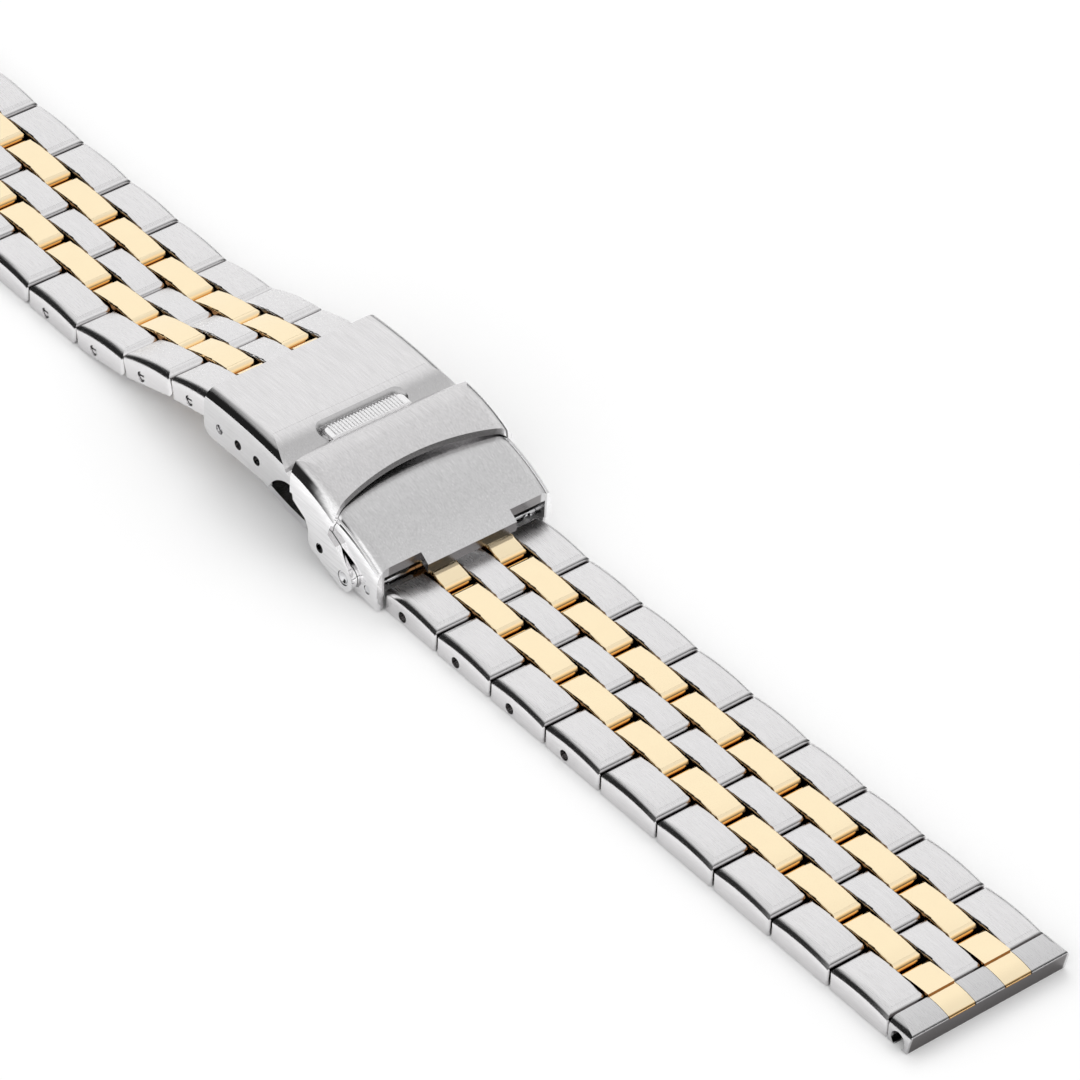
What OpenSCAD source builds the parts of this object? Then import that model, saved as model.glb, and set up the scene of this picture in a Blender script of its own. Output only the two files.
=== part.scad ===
// Two-tone five-row watch bracelet with a folding clasp and a safety flap.
// The bracelet lies along X with its 6 o'clock end at +X, and its links rest on Z = 0.
// Pieces are laid out from the 6 o'clock spring bar, then the whole is centred on the origin.

/* [Straps] */
// Width of the bracelet, which is also the watch's lug width
band_w = 20; // [18:0.5:24]
// Distance from one steel row to the next
link_pitch = 8.5; // [8.2:0.1:9.5]
// Thickness of a link at the crown of its top
link_t = 3.0; // [2.8:0.1:3.4]
// Radius of the crowned top along a link
crown_r = 24.5; // [18:0.5:40]
// Width of the centre steel link
centre_w = 3.5; // [3:0.1:4.5]
// Width of a gold-coloured link
gold_w = 3.3; // [2.8:0.1:4]
// Gap between two neighbouring columns of links
side_gap = 0.12; // [0.08:0.01:0.2]
// Gap between two steel links in line
row_gap = 0.25; // [0.22:0.01:0.4]
// Gap between two gold-coloured links in line
gold_gap = 0.35; // [0.32:0.01:0.5]
// Number of steel rows in each strap
rows = 9; // [5:1:12]

/* [Link rounding] */
// Radius along the outer top edge of an outer link
shoulder_r = 1.1; // [0.8:0.01:1.2]
// Radius where a link's top meets its end
end_r = 0.9; // [0.8:0.05:1]
// Radius under the end of a steel link that faces the clasp
heel_r = 0.7; // [0.6:0.01:0.8]
// Radius under the end of a steel link that faces the watch
toe_r = 0.15; // [0.1:0.01:0.3]
// Radius under both ends of a gold-coloured link
gold_heel_r = 0.8; // [0.7:0.01:0.9]
// Radius of a steel link's corners seen from above
steel_corner_r = 0.4; // [0.2:0.05:0.6]
// Radius of a gold-coloured link's corners seen from above
gold_corner_r = 0.5; // [0.3:0.05:0.5]
// Radius of the small edge round along the sides of a link's top
edge_r = 0.2; // [0.1:0.05:0.3]

/* [Link pins] */
// Radius of a link pin
pin_r = 0.5; // [0.4:0.01:0.55]
// Height of a pin's axis above the underside of its links
pin_height = 1.0; // [0.9:0.01:1.2]
// Distance of each pin from the middle of its steel link
pin_offset = 1.02; // [0.98:0.01:1.15]
// Radial clearance where a piece turns on a pin
running_gap = 0.05; // [0.03:0.01:0.08]
// Radial clearance where a pin is pressed in
press_gap = 0.01; // [0.005:0.005:0.02]
// Number of steel rows next to the clasp whose pin can be pushed out
removable_rows = 4; // [1:1:5]
// Radius of the mouth of a hole for a removable pin
mouth_r = 0.6; // [0.56:0.01:0.7]
// Depth of that mouth in the outer link's side
mouth_depth = 0.8; // [0.5:0.1:1.2]
// Wall left outside a pin that can't be pushed out
blind_wall = 1.0; // [0.6:0.1:1.5]
// Width of the slit in the end of a split pin
slit_w = 0.2; // [0.1:0.05:0.3]
// Depth of that slit
slit_depth = 0.8; // [0.4:0.1:1.5]

/* [Straps at the clasp] */
// Distance between the two holes of a short gold-coloured link
short_span = 4.7; // [4.6:0.1:5.5]
// How far a short link reaches past its link pin
short_overhang = 0.72; // [0.7:0.01:0.75]
// Radius where a short link's top meets its ends
short_end_r = 0.8; // [0.7:0.05:0.9]
// How far a short link reaches past its spring bar
bar_overhang = 0.95; // [0.9:0.01:1.1]
// Tilt of the 12 o'clock short links as the strap hangs from the cover
drape_short = 8.5; // [6:0.5:10]
// Tilt of the first steel row
drape_row_1 = 12.5; // [10:0.5:14]
// Tilt of the second steel row
drape_row_2 = 17; // [14:0.5:18]
// Tilt of the second gold-coloured row
drape_gold_2 = 14; // [12:0.5:15]
// Tilt of the third steel row
drape_row_3 = 9; // [8:0.5:10]
// Tilt of the third gold-coloured row
drape_gold_3 = 4; // [3.5:0.5:5]

/* [End links] */
// Reach of an end link from its near edge to the front edge
end_reach = 3.045; // [2.945:0.05:3.645]
// Distance of the watch's spring bar from that near edge
lug_bar_reach = 1.375; // [1.345:0.01:1.545]
// Radius of the channel for the watch's spring bar
lug_bar_r = 0.95; // [0.85:0.01:0.98]
// Width of the slot that opens the channel downwards
lug_slot_w = 1.1; // [0.8:0.1:1.2]
// Height of an end link at its crown
end_t = 2.8; // [2.75:0.05:3]
// Radius along an end link's front edge
end_front_r = 0.5; // [0.4:0.05:0.6]
// Radius of an end link's crowned top
end_crown_r = 9; // [8:0.5:14]
// How far the front face leans back from its top to its tip
front_lean = 0.45; // [0.3:0.05:0.5]
// Thickness of steel left above the channel, under the gold-coloured lugs
crown_wall = 0.2; // [0.15:0.05:0.3]
// Width of the seam beside a gold-coloured lug
seam = 0.05; // [0.03:0.01:0.08]

/* [Clasp walls] */
// Thickness of the clasp's plates and walls
wall = 0.9; // [0.8:0.05:1]
// Clearance between the bracelet and the walls on each side of it
side_clear = 0.25; // [0.1:0.01:0.3]
// Radius along the clasp's top edges
clasp_edge_r = 1.5; // [1.3:0.05:1.6]

/* [Cover] */
// Distance from the 6 o'clock spring bar back to the cover's near end
cover_near = 10.4; // [10.3:0.1:10.8]
// Distance from the 6 o'clock spring bar back to the cover's far end
cover_far = 26.8; // [26.5:0.1:28]
// Height of the cover's crown
cover_top = 10.2; // [10.15:0.05:10.3]
// Distance back to the cover's crown
cover_crown = 22.1; // [21:0.1:24]
// Radius of the cover's arch
cover_arch_r = 65; // [55:1:90]
// Distance back to where the roof starts to roll down towards the flap
dip_back = 17.2; // [17.1:0.05:17.3]
// Radius of that roll
dip_r = 7; // [6.8:0.1:7.2]
// How far the roof is lowered under the flap's band
dip_depth = 1.25; // [1.2:0.05:1.3]
// Height of the bottom edge of the cover's walls
skirt_z = 4.78; // [4.6:0.02:5]
// Radius of the corner at the far end of that edge
skirt_r = 1.4; // [1:0.1:1.6]
// Radius of the finger scallop in the walls
scallop_r = 3.8; // [3.4:0.1:4]
// Distance back to the middle of the scallop
scallop_back = 12.3; // [12:0.1:12.8]
// Height of the wall's edge above the scallop
scallop_top = 7.2; // [7:0.05:7.4]
// Distance back to the outermost micro-adjust hole
hole_back = 24.19; // [24:0.01:24.4]
// Distance between two micro-adjust holes
hole_step = 3.1; // [2.8:0.1:3.2]
// Height of the micro-adjust holes
hole_z = 6.65; // [6.5:0.05:6.8]
// Radius of a micro-adjust hole
hole_r = 0.55; // [0.52:0.01:0.6]
// Distance back to the middle of the pocket under the flap's lip
pocket_back = 14.7; // [14.65:0.05:14.75]
// Length of the pocket at its brim
pocket_l = 4.5; // [4.4:0.05:4.7]
// Width of the pocket at its brim
pocket_w = 13.4; // [13:0.1:13.6]
// Depth of the pocket
pocket_depth = 1.2; // [1.1:0.05:1.25]
// Radius over which the roof rolls down into the pocket
brim_r = 1.6; // [1.5:0.05:1.65]
// Radius over which that slope runs out into the pocket's floor
foot_r = 0.9; // [0.8:0.05:0.95]
// How far the brim would stand above the roof, so that the roll starts at a slight angle
brim_rise = 0.06; // [0.04:0.01:0.1]
// Thickness of the pocket's floor
pocket_floor = 0.3; // [0.25:0.05:0.4]

/* [Safety flap] */
// Radius of the arched band
band_arch_r = 18; // [17.5:0.5:20]
// Height of the band's crown
band_top = 10.9; // [10.85:0.05:11.1]
// Distance back to the band's crown
band_crown = 13.1; // [13:0.1:13.3]
// Thickness of the band
band_t = 0.7; // [0.6:0.05:0.75]
// Distance back to the band's far edge at the middle
band_far = 13.75; // [13.7:0.01:13.8]
// Distance back to the band's front edge at the middle
band_front = 6.85; // [6.8:0.05:7.2]
// Distance back to where the band starts to roll down towards its far edge
roll_back = 10.2; // [10.1:0.05:10.3]
// Radius of that roll
roll_r = 3.5; // [3.45:0.01:3.6]
// Height of the band's underside at its far edge
far_low = 8.9; // [8.88:0.01:8.92]
// Radius of the band's far edge seen from above
far_edge_r = 34; // [33:1:36]
// Radius of the band's front edge seen from above
front_edge_r = 34; // [34:1:38]
// Thickness of the ears
ear_t = 0.6; // [0.5:0.05:0.8]
// Distance back to an ear's hidden edge, under the band
ear_far = 11.3; // [11.1:0.1:11.4]
// Height where that edge turns along the finger scallop
ear_turn_z = 7.6; // [7.4:0.1:7.8]
// Distance back to an ear's upright heel
heel_back = 8.5; // [8.4:0.1:8.7]
// Height of the heel's top
heel_high = 4.4; // [4.2:0.1:4.6]
// Height of the heel's foot
heel_low = 2.9; // [2.7:0.1:3.1]
// Distance back to an ear's front edge, under the band
ear_near = 4.9; // [4.8:0.1:5]
// Distance back to the notch in that edge
notch_back = 5.4; // [5.3:0.1:5.6]
// Height of the notch
notch_z = 5.8; // [5.7:0.1:6]
// Gap between the ears and the clasp's walls
ear_gap = 0.05; // [0.03:0.01:0.1]
// Radius of the eye at the end of an ear
eye_r = 1.45; // [1.35:0.05:1.5]
// Distance back to the rivets that the flap turns on
rivet_back = 2.73; // [2.7:0.01:2.9]
// Height of the rivets
rivet_z = 1.96; // [1.95:0.01:2.1]
// Radius of a rivet's shank
rivet_r = 0.8; // [0.7:0.05:0.85]
// Radius of a rivet's head inside the end piece
rivet_head_r = 1.2; // [1.1:0.05:1.3]
// Thickness of that head
rivet_head_t = 0.4; // [0.3:0.05:0.5]
// Distance back to the hole in each ear
ear_hole_back = 6.62; // [6.4:0.02:6.8]
// Height of that hole
ear_hole_z = 3.23; // [3.1:0.01:3.4]
// Radius of that hole
ear_hole_r = 0.55; // [0.4:0.05:0.6]
// Width of the knurled lip
lip_w = 10; // [9.6:0.1:10.2]
// Distance back to the lip's tip
lip_far = 15.15; // [15:0.05:15.3]
// Height of the lip's tip
lip_z = 9.7; // [9.65:0.01:9.8]
// Height of the lip's root in the band's far edge
lip_root_z = 9.3; // [9.25:0.01:9.35]
// Thickness of the lip
lip_t = 0.5; // [0.4:0.05:0.55]
// Number of ribs on the lip
rib_count = 22; // [14:1:24]
// Radius of a rib
rib_r = 0.15; // [0.1:0.01:0.16]
// How far the ribs stand out past the lip's tip
rib_tip = 0.15; // [0.1:0.01:0.2]
// How far the ribs' axes lie below the lip's top
rib_sink = 0.06; // [0:0.01:0.08]

/* [End piece] */
// Radius of the end piece's arch
end_arch_r = 20; // [19.5:0.5:22]
// Height of the arch's crown
end_arch_top = 8.47; // [8.3:0.01:8.5]
// Distance back to the arch's crown
end_arch_back = 8.65; // [8.5:0.05:8.8]
// Distance back to the plate's hidden edge under the flap
plate_back = 9.9; // [9.5:0.1:9.95]
// Distance from the spring bar forward to the plate's front edge
plate_front = 3.1; // [2.9:0.1:3.2]
// How far the plate is set back at its two front corners
notch_depth = 1.2; // [0.8:0.1:1.4]
// Width of the plate's tongue between the two corners
tongue_w = 11.3; // [11:0.1:11.6]
// Depth of the plate's rim along the sides
rim_depth = 2.8; // [2.4:0.1:3]
// How far the side wall is set in below the rim
rim_step = 0.25; // [0.15:0.05:0.3]
// Distance back to the side wall's hidden edge
side_back = 7.6; // [7.4:0.1:8]
// Distance forward to the side wall's front end
side_front = 1.75; // [1.6:0.05:1.9]
// Height of the side wall's bottom at its front end
side_low = 0.15; // [0.1:0.05:0.3]
// Rise of the side wall's bottom from its front end to its hidden edge
side_rise = 1.0; // [0.8:0.1:1.2]

/* [Blades and hinges] */
// Thickness of the blades
blade_t = 0.8; // [0.7:0.05:0.85]
// Width of the lower blade
lower_w = 19; // [18:0.5:19.4]
// Height of the lower blade's flat stretch, at its middle
lower_z = 1.6; // [1.55:0.05:1.7]
// Distance back to where the lower blade starts to rise
lower_bend = 10.1; // [9.8:0.1:10.4]
// Radius of the lower blade's rising stretch
lower_arch_r = 31; // [29:0.5:33]
// Distance back to the near end of the lower blade
lower_near = 1.4; // [1.4:0.05:1.8]
// Distance back to the hinge of the two blades
blade_hinge_back = 22.9; // [22.6:0.1:23.2]
// Radius of a hinge knuckle
knuckle_r = 1.1; // [1:0.05:1.15]
// Radius of a hinge pin
hinge_pin_r = 0.5; // [0.4:0.05:0.55]
// Width of the middle blade's neck at the blade hinge
neck_w = 6; // [5:0.2:7]
// Width of the middle blade
middle_w = 14; // [12:0.2:14.4]
// Distance back to where the neck widens
neck_back = 19.4; // [19:0.1:19.6]
// Distance back to the cover's hinge
cover_hinge_back = 11.6; // [11.5:0.1:11.8]
// Height of the cover's hinge
cover_hinge_z = 4.5; // [4.4:0.05:4.7]
// Thickness of the cover's hinge arms
arm_t = 1.0; // [0.8:0.05:1.2]
// Gap between two hinge knuckles side by side
knuckle_gap = 0.1; // [0.08:0.01:0.2]
// Distance back to the cross bar on the lower blade
cross_bar_back = 11.5; // [11.3:0.1:12]
// Radius of the cross bar
cross_bar_r = 0.5; // [0.4:0.05:0.6]

/* [Spring bars] */
// Height of the 6 o'clock spring bar
bar_z = 1.85; // [1.8:0.01:1.9]
// Radius of a spring bar's tube
bar_r = 0.65; // [0.55:0.01:0.7]
// Thickness of the tube's wall
bar_wall = 0.2; // [0.15:0.01:0.22]
// Radius of a plunger's tip
tip_r = 0.45; // [0.4:0.01:0.5]
// Length of a plunger's shoulder
shoulder_l = 0.7; // [0.5:0.1:1]
// Travel left between the shoulder and the tube
plunger_travel = 0.9; // [0.7:0.05:1.1]
// Length of a plunger's stem inside the tube
stem_l = 2.2; // [1.5:0.1:3]
// Radius of the coil spring's wire
wire_r = 0.1; // [0.08:0.01:0.11]
// Number of turns of the coil spring
coil_turns = 12; // [8:1:16]

/* [Hidden] */
$fn = 48;
eps = 0.01;
far_cut = 60;

steel = [0.78, 0.78, 0.80];
bright = [0.86, 0.86, 0.88];
gold = [0.96, 0.78, 0.42];

// Links
link_l = link_pitch - row_gap;
gold_l = link_pitch - gold_gap;
gold_span = link_pitch - 2 * pin_offset;
gold_overhang = (gold_l - gold_span) / 2;
outer_in = centre_w / 2 + 2 * side_gap + gold_w;
outer_w = band_w / 2 - outer_in;
gold_y = centre_w / 2 + side_gap + gold_w / 2;
link_reach = link_l / 2 - pin_offset;

// End links, measured from their hinge pin
end_near = link_reach + row_gap;
end_front = end_near + end_reach;
lug_bar_x = end_near + lug_bar_reach;

// Clasp widths
inner_half = band_w / 2 + side_clear;
clasp_half = inner_half + wall;
ear_in = clasp_half + ear_gap;
ear_out = ear_in + ear_t;
side_half = clasp_half - rim_step;

// The strap on the 6 o'clock side leaves its spring bar at the tilt that lays its first row flat.
tilt_6 = asin((bar_z - pin_height) / short_span);
// The strap on the 12 o'clock side hangs from the cover, and its first full gold row closes the height.
drape_rest = short_span * sin(drape_short)
    + 2 * pin_offset * (sin(drape_row_1) + sin(drape_row_2) + sin(drape_row_3))
    + gold_span * (sin(drape_gold_2) + sin(drape_gold_3));
drape_gold_1 = asin((hole_z - pin_height - drape_rest) / gold_span);
drape = [drape_short, drape_row_1, drape_gold_1, drape_row_2, drape_gold_2, drape_row_3, drape_gold_3];

// Pin 0 is the spring bar, then come the two pins of each steel row in turn, away from the clasp.
function span(i) = i == 0 ? short_span : i % 2 == 1 ? 2 * pin_offset : gold_span;
function tilt(side, i) = side == 6 ? (i == 0 ? tilt_6 : 0) : (i < len(drape) ? drape[i] : 0);
function pin_at(side, i) =
    i == 0
        ? (side == 6 ? [0, bar_z] : [hole_back, hole_z])
        : pin_at(side, i - 1) + span(i - 1) * [cos(tilt(side, i - 1)), -sin(tilt(side, i - 1))];

// The origin is under the middle of the whole length.
middle_x = (pin_at(6, 2 * rows).x - pin_at(12, 2 * rows).x) / 2;

// Hinge places on the clasp
blade_hinge_z = lower_z + lower_arch_r
    - sqrt(pow(lower_arch_r, 2) - pow(blade_hinge_back - lower_bend, 2));
cover_axis = [-cover_crown, cover_top - cover_arch_r];
band_axis = [-band_crown, band_top - band_arch_r];
end_axis = [-end_arch_back, end_arch_top - end_arch_r];

STRAPS = [6, 12];

// Extrusions along the three axes, centred
module along_y(w) {
    rotate([90, 0, 0])
        linear_extrude(height = w, center = true)
            children();
}

module along_x(l) {
    rotate([90, 0, 90])
        linear_extrude(height = l, center = true)
            children();
}

// A slab from y_low to y_high whose outline is drawn in X and Z
module slab(y_low, y_high) {
    translate([0, (y_low + y_high) / 2, 0])
        along_y(y_high - y_low)
            children();
}

module both_sides() {
    children();
    mirror([0, 1, 0])
        children();
}

// A rod along Y
module rod(r, y_low, y_high) {
    translate([0, y_high, 0])
        rotate([90, 0, 0])
            cylinder(r = r, h = y_high - y_low);
}

// What a corner loses when it is rounded, for a corner at the origin of a shape in the first quadrant
module corner_bite(r) {
    difference() {
        translate([-eps, -eps])
            square(r + eps);
        translate([r, r])
            circle(r);
    }
}

// A rectangle from [0, 0] with a radius or 0 for each corner: low left, low right, high right, high left
module rounded_plate(size, radii) {
    difference() {
        square(size);
        if (radii[0] > 0)
            corner_bite(radii[0]);
        if (radii[1] > 0)
            translate([size.x, 0])
                mirror([1, 0])
                    corner_bite(radii[1]);
        if (radii[2] > 0)
            translate(size)
                rotate(180)
                    corner_bite(radii[2]);
        if (radii[3] > 0)
            translate([0, size.y])
                mirror([0, 1])
                    corner_bite(radii[3]);
    }
}

// What a crowned top loses where a radius runs from it into the end of the link, at x = half
module shoulder_bite(half, top, arch, r) {
    lean = asin((half - r) / (arch - r));
    centre = [half - r, top - arch + (arch - r) * cos(lean) - eps];
    reach = 3 * r;
    difference() {
        translate(centre)
            polygon([[0, 0], reach * [sin(lean), cos(lean)], [reach, reach], [reach, 0]]);
        translate(centre)
            circle(r);
    }
}

// Side outline of a link with a flat underside and top, and radii at the ends that fit its crown
module link_outline(l, heel, toe, end) {
    difference() {
        translate([-l / 2, 0])
            rounded_plate([l, link_t], [heel, toe, 0, 0]);
        shoulder_bite(l / 2, link_t, crown_r, end);
        mirror([1, 0])
            shoulder_bite(l / 2, link_t, crown_r, end);
    }
}

// Crowned body of a link from y = 0 to y = w: its edges are rounded all along the crown
module link_crown(w, in_edge_r, out_edge_r) {
    depth = link_t + 1;
    sweep = 30;
    arched([0, link_t - crown_r], crown_r, sweep)
        translate([-depth, -w])
            rounded_plate([depth, w], [0, out_edge_r, in_edge_r, 0]);
}

// A whole link without holes, centred in X, from y = 0 to y = w, its underside at z = 0
module link_blank(l, w, heel, toe, corner_r, in_edge_r, out_edge_r, end = end_r) {
    intersection() {
        slab(-1, w + 1)
            link_outline(l, heel, toe, end);
        link_crown(w, in_edge_r, out_edge_r);
        along_x(l + 1)
            rounded_plate([w, 2 * link_t], [edge_r, edge_r, 0, 0]);
        translate([-l / 2, 0, -1])
            linear_extrude(height = link_t + 2)
                rounded_plate([l, w], [corner_r, corner_r, corner_r, corner_r]);
    }
}

// Moves its children to the given pin of a strap, with X leading away from the clasp
module at_pin(side, i) {
    place = pin_at(side, i);
    translate([-middle_x, 0, 0])
        mirror([side == 6 ? 0 : 1, 0, 0])
            translate([place.x, 0, place.y])
                rotate([0, tilt(side, i), 0])
                    children();
}

// One steel row: two outer links, a centre link and the two pins that hold them
module steel_links(side, k) {
    loose_x = side == 6 ? 0 : 2 * pin_offset;
    fixed_x = 2 * pin_offset - loose_x;
    removable = k <= removable_rows;
    blind_end = band_w / 2 - blind_wall;
    pin_end = blind_end - running_gap;
    color(steel)
        at_pin(side, 2 * k - 1) {
            both_sides()
                difference() {
                    translate([pin_offset, outer_in, -pin_height])
                        link_blank(link_l, outer_w, heel_r, toe_r, steel_corner_r, edge_r, shoulder_r);
                    translate([fixed_x, 0, 0])
                        rod(pin_r + press_gap, outer_in - 1, blind_end);
                    translate([loose_x, 0, 0])
                        rod(pin_r + press_gap, outer_in - 1, removable ? band_w : blind_end);
                    if (removable)
                        translate([loose_x, 0, 0])
                            rod(mouth_r, band_w / 2 - mouth_depth, band_w);
                }
            difference() {
                translate([pin_offset, -centre_w / 2, -pin_height])
                    link_blank(link_l, centre_w, heel_r, toe_r, steel_corner_r, edge_r, edge_r);
                for (x = [0, 2 * pin_offset])
                    translate([x, 0, 0])
                        rod(pin_r + press_gap, -centre_w, centre_w);
            }
            translate([fixed_x, 0, 0])
                rod(pin_r, -pin_end, pin_end);
            translate([loose_x, 0, 0])
                if (removable)
                    removable_pin(side == 12);
                else
                    rod(pin_r, -pin_end, pin_end);
        }
}

// A pin that can be pushed out, sunk below the mouths of its hole, or split and nearly flush
module removable_pin(split) {
    half = band_w / 2 - (split ? edge_r : mouth_depth);
    difference() {
        rod(pin_r, -half, half);
        if (split)
            both_sides()
                translate([-band_w / 2, half - slit_depth, -slit_w / 2])
                    cube([band_w, slit_depth + 1, slit_w]);
    }
}

// One row of two gold-coloured links
module gold_links(side, k) {
    color(gold)
        at_pin(side, 2 * k)
            both_sides()
                difference() {
                    translate([gold_span / 2, gold_y - gold_w / 2, -pin_height])
                        link_blank(gold_l, gold_w, gold_heel_r, gold_heel_r, gold_corner_r, edge_r, edge_r);
                    for (x = [0, gold_span])
                        translate([x, 0, 0])
                            rod(pin_r + running_gap, 0, band_w / 2);
                }
}

// The two short gold-coloured links between a spring bar and the first steel row
module short_gold_links(side) {
    l = bar_overhang + short_span + short_overhang;
    color(gold)
        at_pin(side, 0)
            both_sides()
                difference() {
                    translate([l / 2 - bar_overhang, gold_y - gold_w / 2, -pin_height])
                        link_blank(l, gold_w, gold_heel_r, gold_heel_r, gold_corner_r, edge_r, edge_r,
                            short_end_r);
                    rod(bar_r + running_gap, 0, band_w / 2);
                    translate([short_span, 0, 0])
                        rod(pin_r + running_gap, 0, band_w / 2);
                }
}

// Side outline of an end link, with its hinge pin's axis at the origin
module end_outline(near) {
    base = -pin_height;
    crown_x = end_near + end_front_r;
    difference() {
        intersection() {
            polygon([
                [near, base],
                [end_front - front_lean, base],
                [end_front, base + end_t - end_front_r],
                [end_front, base + link_t],
                [near, base + link_t]
            ]);
            translate([crown_x, base + end_t - end_crown_r])
                circle(end_crown_r, $fn = 160);
        }
        translate([end_front, base + end_t - edge_r])
            rotate(180)
                corner_bite(end_front_r);
    }
}

// The steel end link, with the channel for the watch's spring bar
module end_link(side) {
    slot_floor = lug_bar_r + crown_wall;
    slot_w = gold_w + 2 * seam;
    color(steel)
        at_pin(side, 2 * rows)
            difference() {
                intersection() {
                    along_y(band_w)
                        end_outline(end_near);
                    translate([0, -band_w / 2, -pin_height])
                        along_x(4 * link_pitch)
                            rounded_plate([band_w, end_t], [edge_r, edge_r, shoulder_r, shoulder_r]);
                }
                translate([lug_bar_x, 0, 0])
                    rod(lug_bar_r, -band_w, band_w);
                translate([lug_bar_x - lug_slot_w / 2, -band_w, -2 * pin_height])
                    cube([lug_slot_w, 2 * band_w, 2 * pin_height]);
                both_sides()
                    translate([end_near - 1, gold_y - slot_w / 2, slot_floor])
                        cube([end_front, slot_w, link_t]);
            }
}

// The two gold-coloured lugs that are fixed in an end link and hinge on the last steel row
module end_lugs(side) {
    tail = end_near - seam;
    slot_floor = lug_bar_r + crown_wall;
    color(gold)
        at_pin(side, 2 * rows)
            both_sides()
                difference() {
                    intersection() {
                        slab(gold_y - gold_w / 2, gold_y + gold_w / 2)
                            union() {
                                intersection() {
                                    translate([gold_span / 2, -pin_height])
                                        intersection() {
                                            link_outline(gold_l, gold_heel_r, gold_heel_r, end_r);
                                            translate([0, link_t - crown_r])
                                                circle(crown_r, $fn = 240);
                                        }
                                    translate([-band_w + tail, -band_w])
                                        square([band_w, 2 * band_w]);
                                }
                                intersection() {
                                    end_outline(tail - eps);
                                    translate([tail - eps, slot_floor])
                                        square([band_w, link_t]);
                                }
                            }
                        translate([-gold_overhang, gold_y - gold_w / 2, -far_cut / 2])
                            linear_extrude(height = far_cut)
                                rounded_plate([gold_overhang + end_front, gold_w],
                                    [gold_corner_r, edge_r, edge_r, gold_corner_r]);
                    }
                    rod(pin_r + running_gap, 0, band_w / 2);
                }
}

// Moves its children to the place of a spring bar
module at_bar(side) {
    place = pin_at(side, 0);
    translate([(side == 6 ? place.x : -place.x) - middle_x, 0, place.y])
        children();
}

tube_half = inner_half - running_gap - shoulder_l - plunger_travel;
bar_bore_r = bar_r - bar_wall;
stem_r = bar_bore_r - running_gap;

module spring_bar_tube(side) {
    color(bright)
        at_bar(side)
            difference() {
                rod(bar_r, -tube_half, tube_half);
                rod(bar_bore_r, -band_w, band_w);
            }
}

// A plunger: a stem in the tube, a shoulder outside it and a tip in the clasp's wall
module plunger(side) {
    color(bright)
        at_bar(side) {
            tip_end = side_half - edge_r / 2;
            shoulder_in = tube_half + plunger_travel;
            rod(stem_r, tube_half - stem_l, shoulder_in + eps);
            rod(bar_r, shoulder_in, shoulder_in + shoulder_l);
            rod(tip_r, shoulder_in + shoulder_l - eps, tip_end);
        }
}

module near_plunger(side) {
    mirror([0, 1, 0])
        plunger(side);
}

module far_plunger(side) {
    plunger(side);
}

// A coil of wire swept as one tube along a helix between the two plungers
module spring_bar_coil(side) {
    coil_half = tube_half - stem_l - running_gap;
    coil_r = stem_r - wire_r;
    ring_n = 5;
    steps_per_turn = 10;
    steps = coil_turns * steps_per_turn;
    travel = 2 * (coil_half - wire_r);
    points = [
        for (s = [0:steps], q = [0:ring_n - 1])
            let (
                a = s * 360 / steps_per_turn,
                b = q * 360 / ring_n,
                r = coil_r + wire_r * cos(b)
            )
            [r * cos(a), -travel / 2 + travel * s / steps + wire_r * sin(b), r * sin(a)]
    ];
    sides = [
        for (s = [0:steps - 1], q = [0:ring_n - 1])
            let (
                p = s * ring_n + q,
                p_next = s * ring_n + (q + 1) % ring_n
            )
            each [[p, p + ring_n, p_next + ring_n], [p, p_next + ring_n, p_next]]
    ];
    first_cap = [for (q = [0:ring_n - 1]) q];
    last_cap = [for (q = [ring_n - 1:-1:0]) steps * ring_n + q];
    color(bright)
        at_bar(side)
            polyhedron(points = points, faces = concat([first_cap], sides, [last_cap]));
}

// Moves its children from the 6 o'clock spring bar's frame into the bracelet's frame
module in_clasp() {
    translate([-middle_x, 0, 0])
        children();
}

// A solid of revolution about an axis along Y: the plate is drawn as depth below r and place in Y
module arched(axis, r, sweep) {
    translate([axis.x, 0, axis.y])
        rotate([90, 0, 0])
            rotate([0, 0, 90 - sweep / 2])
                rotate_extrude(angle = sweep, $fn = 240)
                    translate([r, 0])
                        children();
}

// Cross outline of an arched piece: depth below the arch and half width, with rounded top edges
module arch_section(depth, half, r) {
    translate([-depth, -half])
        rounded_plate([depth, 2 * half], [0, r, r, 0]);
}

module arch_disc(axis, r) {
    translate(axis)
        circle(r, $fn = 240);
}

// Side outline of the cover: far end, bottom edge, scallop and near end
module cover_outline() {
    skirt_top = cover_top + 1;
    difference() {
        translate([-cover_far, skirt_z])
            rounded_plate([cover_far - cover_near, skirt_top - skirt_z], [skirt_r, 0, 0, 0]);
        translate([-scallop_back, scallop_top - scallop_r])
            circle(scallop_r);
        translate([-scallop_back, skirt_z - 1])
            square([scallop_back, scallop_top - skirt_z + 1]);
    }
}

// Side outline under the cover's roof, or at a depth under it, where it rolls down towards the flap
module roof_side(depth) {
    lean = asin((cover_crown - dip_back) / cover_arch_r);
    up = [sin(lean), cos(lean)];
    centre = cover_axis + (cover_arch_r - dip_r) * up - [0, eps];
    polygon([centre, centre + far_cut * up, [-far_cut, far_cut], [-far_cut, -far_cut], [centre.x, -far_cut]]);
    translate(centre)
        circle(dip_r - depth, $fn = 120);
    arch_disc(cover_axis, cover_arch_r - dip_depth - depth);
}

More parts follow.
